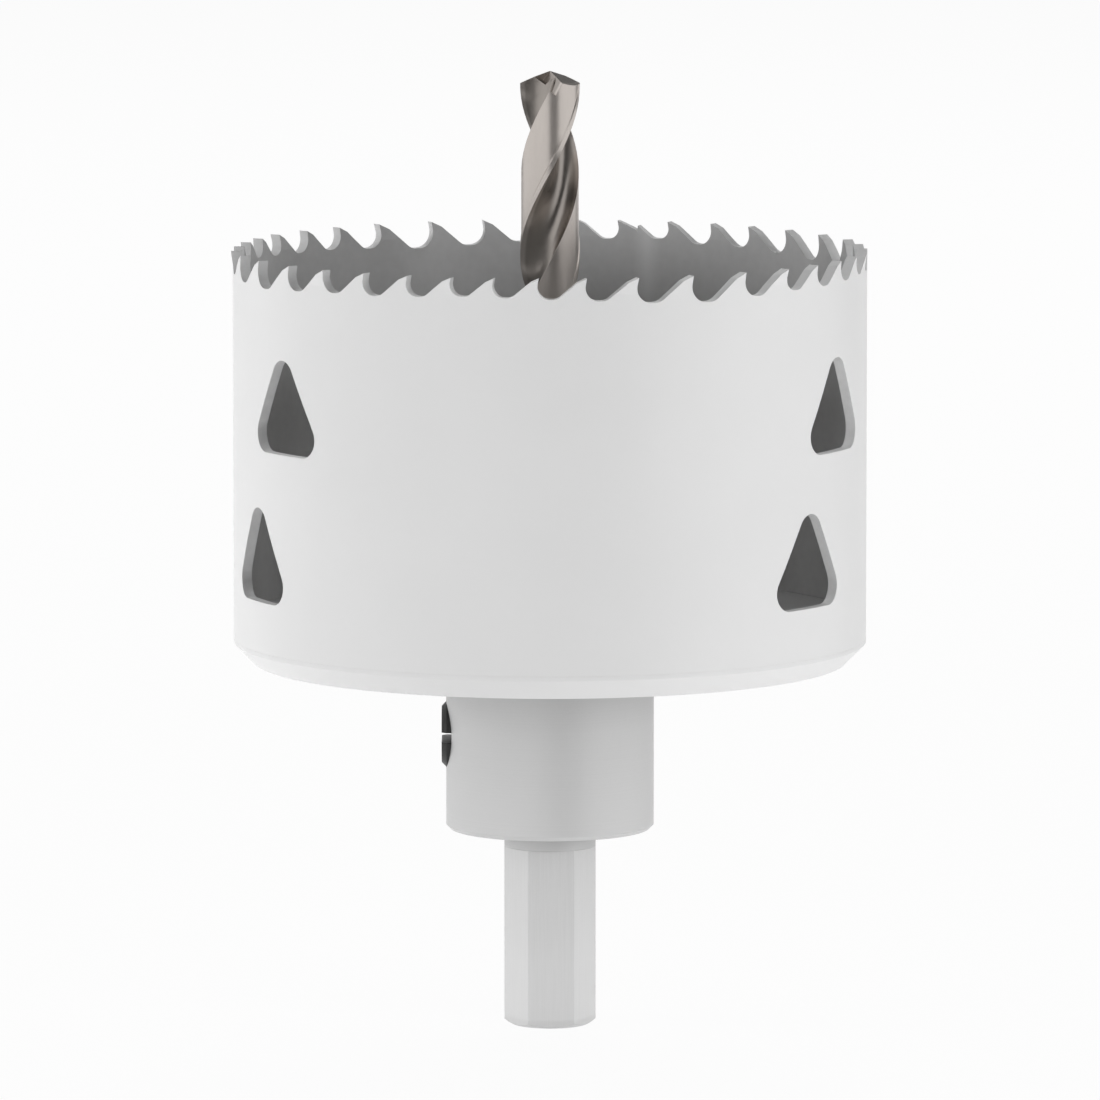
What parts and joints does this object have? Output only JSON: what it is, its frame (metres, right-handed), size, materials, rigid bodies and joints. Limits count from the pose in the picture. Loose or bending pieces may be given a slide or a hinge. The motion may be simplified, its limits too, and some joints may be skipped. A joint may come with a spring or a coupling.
{
  "type": "hole saw",
  "caption": "Toothed steel cup with lever slots in its wall, on a turned arbor with a hex shank, and a twist drill on the axis held by a slotted set screw.",
  "frame": {"origin": "centre of the flat end of the hex shank", "axes": "+Z along the axis to the tip of the pilot drill, -Y the front, the set screw towards -X"},
  "size_m": [0.0761, 0.0761, 0.1152],
  "materials": {
    "cup_paint": "smooth white enamel, bare steel at the cut edges",
    "arbor_steel": "turned and plated",
    "drill_steel": "ground high speed steel",
    "black_oxide": "satin black oxide"
  },
  "bodies": {
    "root": {"cup_wall": "cup_paint", "backing_plate": "cup_paint", "arbor": "arbor_steel", "pilot_drill": "drill_steel", "set_screw": "black_oxide"}
  },
  "joints": []
}
